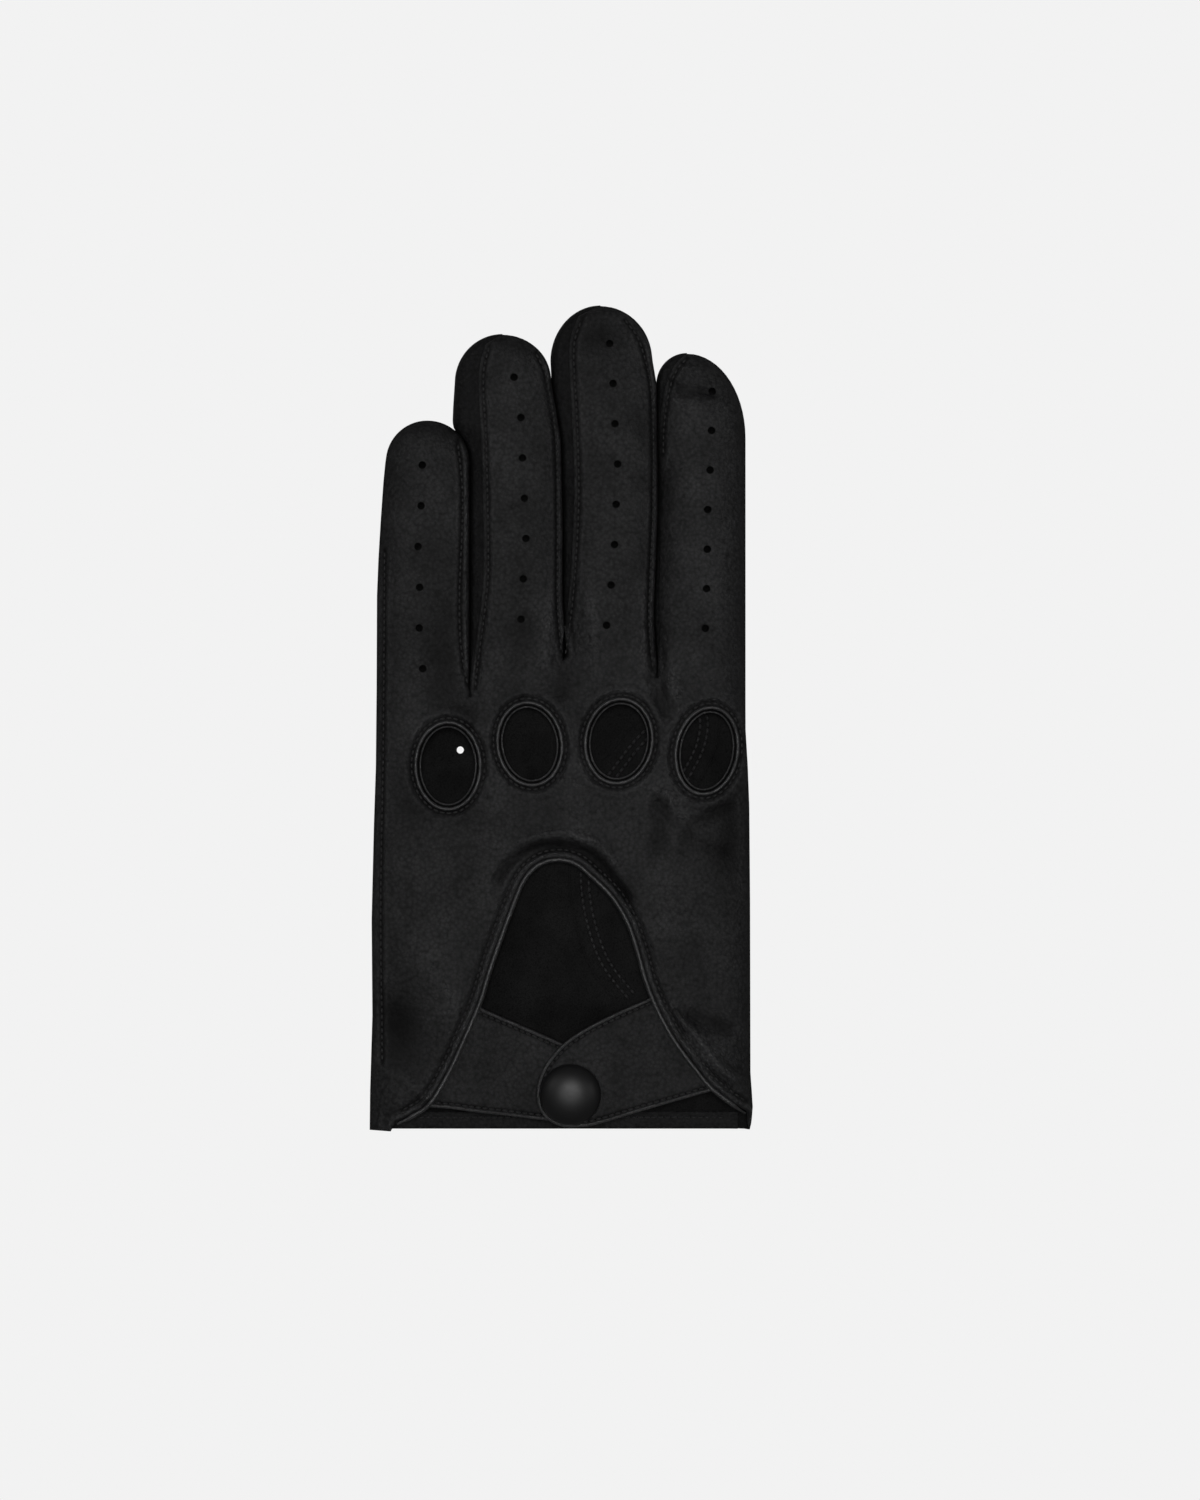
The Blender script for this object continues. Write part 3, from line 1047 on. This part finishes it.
s0, s1 = (corner[2] for corner in cad_box("snap_stud"))
stud = [(5.0, s0), (5.0, s0 + .25), (4.6, s0 + .4), (2.3, s0 + .45), (1.6, s0 + .7), (1.6, s0 + 1.0), (1.9, s0 + 1.3),
        (1.7, s1 - .1), (1.2, s1), (0.01, s1)]
place(lathe("snap_stud_ring", stud, M_METAL, SNAP), "hand", ["snap_stud"])
q0, q1 = (corner[2] for corner in cad_box("snap_post"))
post = [(0.01, q0), (4.4, q0), (5.0, q0 + .2), (5.0, q0 + .45), (.95, q0 + .5), (.95, q1)]
place(lathe("snap_post_ring", post, M_METAL, SNAP), "hand", ["snap_post"])

# ---- thumb, under the palm ----
ALONG = np.array([math.cos(THUMB_ANGLE), math.sin(THUMB_ANGLE)])
ACROSS_T = np.array([-ALONG[1], ALONG[0]])
thumb_uv = [(-6.5, 0), (-4.5, 6.5), (2, 10.5), (12, 12.0), (26, 12.4), (40, 12.0), (49, 10.2), (55, 6.0), (57.8, 0),
            (55, -6.0), (49, -10.2), (40, -12.0), (26, -12.4), (12, -12.0), (2, -10.5), (-4.5, -6.5)]
thumb_loop = curve([THUMB_ROOT + u * ALONG + v * ACROSS_T for u, v in thumb_uv], 1.0, True)
txy, ttris = triangulate(thumb_loop, [], 1.0, 1.8, [])
te = Lines([thumb_loop], closed=True).far(txy)
half = THUMB_H / 2
for name, sign in (("thumb_back", 1), ("thumb_front", -1)):
    bulge = (half - .12) * roll(te / 4.5) - .1 * bell(te, 1.6, .5)
    tz = half + sign * (bulge + 0.08 * wrinkles(txy, .2, 4 + sign) * smooth(te / 4))
    inner = tz - sign * 0.9 * np.clip(te / 2, 0, 1)
    obj = sheet_object(name + "_leather", txy, ttris, tz, inner, PALM, sign > 0)
    place(obj, "thumb", [name])
GUSSET_HALF = (17.0, 29.0)
gusset_loop = sum(cad_box("thumb_gusset"))[:2] / 2 + circle(0, 0, 1, 90) * GUSSET_HALF
gxy, gtris = triangulate(gusset_loop, [], 1.2, 2.4, [])
gz = bottom(gxy) - 0.18
gz = gz + 0.15 * (1 - np.clip(Lines([gusset_loop], closed=True).far(gxy) / .5, 0, 1))
obj = sheet_object("thumb_gusset_leather", gxy, gtris, gz, gz + 0.6, PALM, False)
place(obj, "hand", ["thumb_gusset"])

# ---- stitches ----
threads = {b: [] for b in ("hand", "strap", "thumb", *FINGERS)}


def sew(body, line, z_of, **kw):
    made = stitch_mesh(line, z_of, **kw)
    if made:
        threads[body].append(made)


for key, line in seam_lines.items():
    f = key.split("_")[0]
    sew(f if f in FINGERS else "hand", line, top)


def inside_z(p):
    """Height of the palm's inner face."""
    return bottom(p) + LEATHER


def hem_top(p):
    """Height of the hem, level across its width."""
    return inside_z(np.column_stack([p[:, 0], np.full(len(p), .5)])) + .6


thumb_row = curve([(17.9, 34), (11.5, 42), (8, 49.8), (5.6, 60), (5.2, 70), (6.8, 81), (10.0, 89.5), (14.5, 96),
                   (20.6, 103.5), (27, 108), (33, 110.2), (38, 108.7), (37.5, 101), (33.7, 93), (29.5, 86)], 0.9)
for shift in (0, 2.0):
    sew("hand", offset(thumb_row, -shift), inside_z, radius=0.34, sink=0.1)
ridge = offset(thumb_row, 3.0)[2:-6]
verts, faces = tube_mesh(np.column_stack([ridge, inside_z(ridge)]), 0.3, 8, flat=0.8)
place(make_object("thumb_seam_edge_leather", verts, faces, [M_INSIDE]), "hand", ())
hem_line = np.column_stack([np.linspace(-40, 44, 90), np.full(90, 3.0)])
sew("hand", hem_line, hem_top)
for _, loop, height, body, _ in STRAPS:
    sew(body, inward(loop, STRAP_SEAM), height)
for body, parts in threads.items():
    if not parts:
        continue
    verts, faces = join_meshes(parts)
    obj = make_object("stitches_" + body, verts, faces, [M_THREAD], sharp=80)
    if body == "strap":
        place_strap(obj, body, ())
    else:
        place(obj, body, ())

# ---- studio: pale floor, soft light, camera straight above ----
FLOOR_DROP = 0.13    # metres, so that bent fingers stay in sight
PALE = (0.888, 0.888, 0.888, 1)
bpy.ops.mesh.primitive_plane_add(size=60, location=(0, 0, -FLOOR_DROP))
floor = bpy.context.object
floor.name = "floor"
m = bpy.data.materials.new("floor")
m.use_nodes = True
m.node_tree.nodes.clear()
glow = m.node_tree.nodes.new("ShaderNodeEmission")
glow.inputs[0].default_value = PALE
out = m.node_tree.nodes.new("ShaderNodeOutputMaterial")
m.node_tree.links.new(glow.outputs[0], out.inputs[0])
floor.data.materials.append(m)
floor.visible_diffuse = floor.visible_glossy = floor.visible_shadow = False

scene = bpy.context.scene
scene.view_settings.view_transform = "Standard"
world = bpy.data.worlds.new("studio")
world.use_nodes = True
world.node_tree.nodes["Background"].inputs[0].default_value = PALE
world.node_tree.nodes["Background"].inputs[1].default_value = 0.1
scene.world = world


def soft_light(name, location, size, energy, aim=(0, 0, 0)):
    light = bpy.data.lights.new(name, "AREA")
    light.shape, light.size, light.energy = "DISK", size, energy
    obj = bpy.data.objects.new(name, light)
    obj.location = location
    obj.rotation_mode = "QUATERNION"
    obj.rotation_quaternion = (Vector(aim) - Vector(location)).to_track_quat("-Z", "Y")
    scene.collection.objects.link(obj)


soft_light("light_over", (0.02, 0.06, 1.45), 0.36, 7.8)
soft_light("light_left", (-1.0, 0.5, 1.1), 0.6, 1.6)
soft_light("light_right", (1.1, 0.1, 1.0), 0.6, 1.2)

camera = bpy.data.cameras.new("camera")
camera.lens, camera.sensor_width, camera.sensor_fit = 100, 36, "AUTO"
camera.clip_start, camera.clip_end = 0.01, 20
cam = bpy.data.objects.new("camera", camera)
FRAME_H = 0.393      # metres that the picture spans from top to bottom
AIM = (0.0101, -0.0084, 0.0065)
cam.location = (AIM[0], AIM[1], AIM[2] + FRAME_H * camera.lens / camera.sensor_width)
scene.collection.objects.link(cam)
scene.camera = cam
